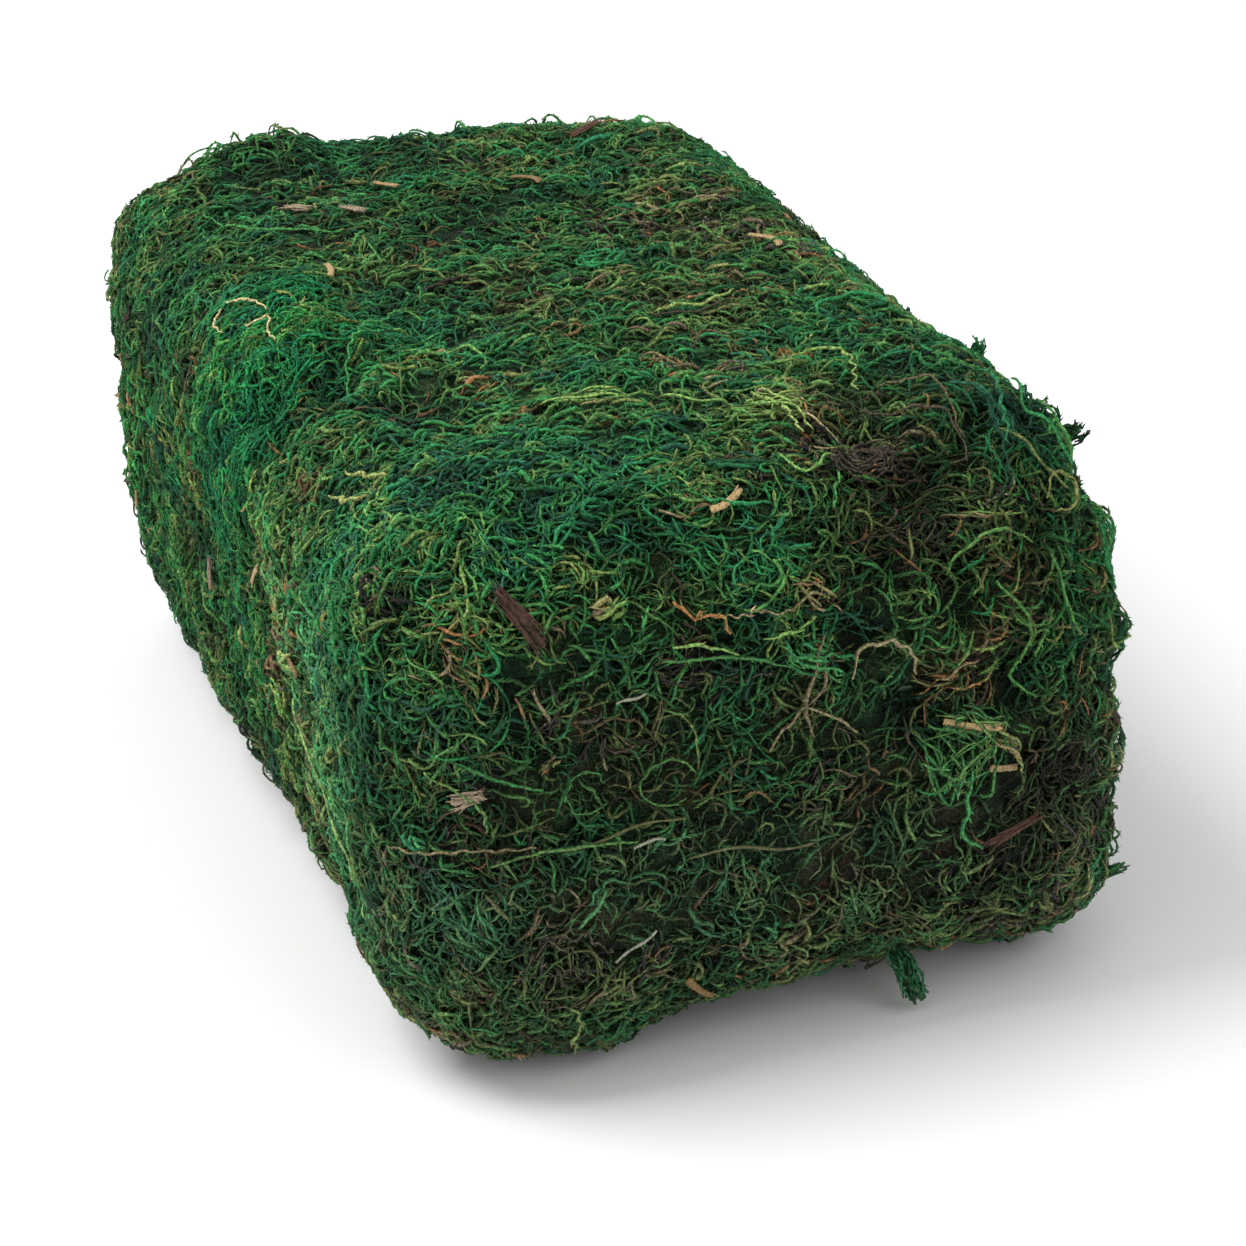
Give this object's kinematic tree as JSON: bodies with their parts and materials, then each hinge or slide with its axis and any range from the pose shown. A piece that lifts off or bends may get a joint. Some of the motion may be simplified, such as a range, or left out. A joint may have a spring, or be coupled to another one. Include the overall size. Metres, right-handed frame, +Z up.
{
  "type": "moss-clad floral foam brick",
  "caption": "Oblong floral foam brick with rounded edges, clad in pinned mats of green sheet moss, standing flat.",
  "frame": {"origin": "centre of the block's bottom face, on the surface it stands on", "axes": "+Z up, +Y along the length from the short end with the loose moss corner to the far end, +X to the right of someone facing that short end"},
  "size_m": [0.127, 0.247, 0.0965],
  "materials": {
    "dry_foam": "open-celled brittle foam, fully matt",
    "olive_moss": "dried sheet moss, fine matted strands, matt",
    "shaded_moss": "darker dried sheet moss with brown strands, matt",
    "bright_moss": "strongly dyed emerald sheet moss, matt with a faint sheen",
    "pin_wire": "drawn steel wire",
    "straw": "dry straw, satin",
    "bark": "rough dry bark, matt",
    "dry_stem": "bare brown-green moss stem, matt"
  },
  "bodies": {
    "root": {"foam_core": "dry_foam", "bottom_mat": "shaded_moss", "front_lower_mat": "shaded_moss", "front_upper_mat": "shaded_moss", "back_mat": "olive_moss", "left_front_mat": "olive_moss", "left_back_mat": "olive_moss", "right_front_mat": "shaded_moss", "right_back_mat": "olive_moss", "top_front_mat": "olive_moss", "top_back_mat": "olive_moss", "corner_clump": "shaded_moss", "edge_patch": "bright_moss", "greening_pins": "pin_wire", "straw_stalks": "straw", "bark_slivers": "bark", "bare_stems": "dry_stem"}
  },
  "joints": []
}
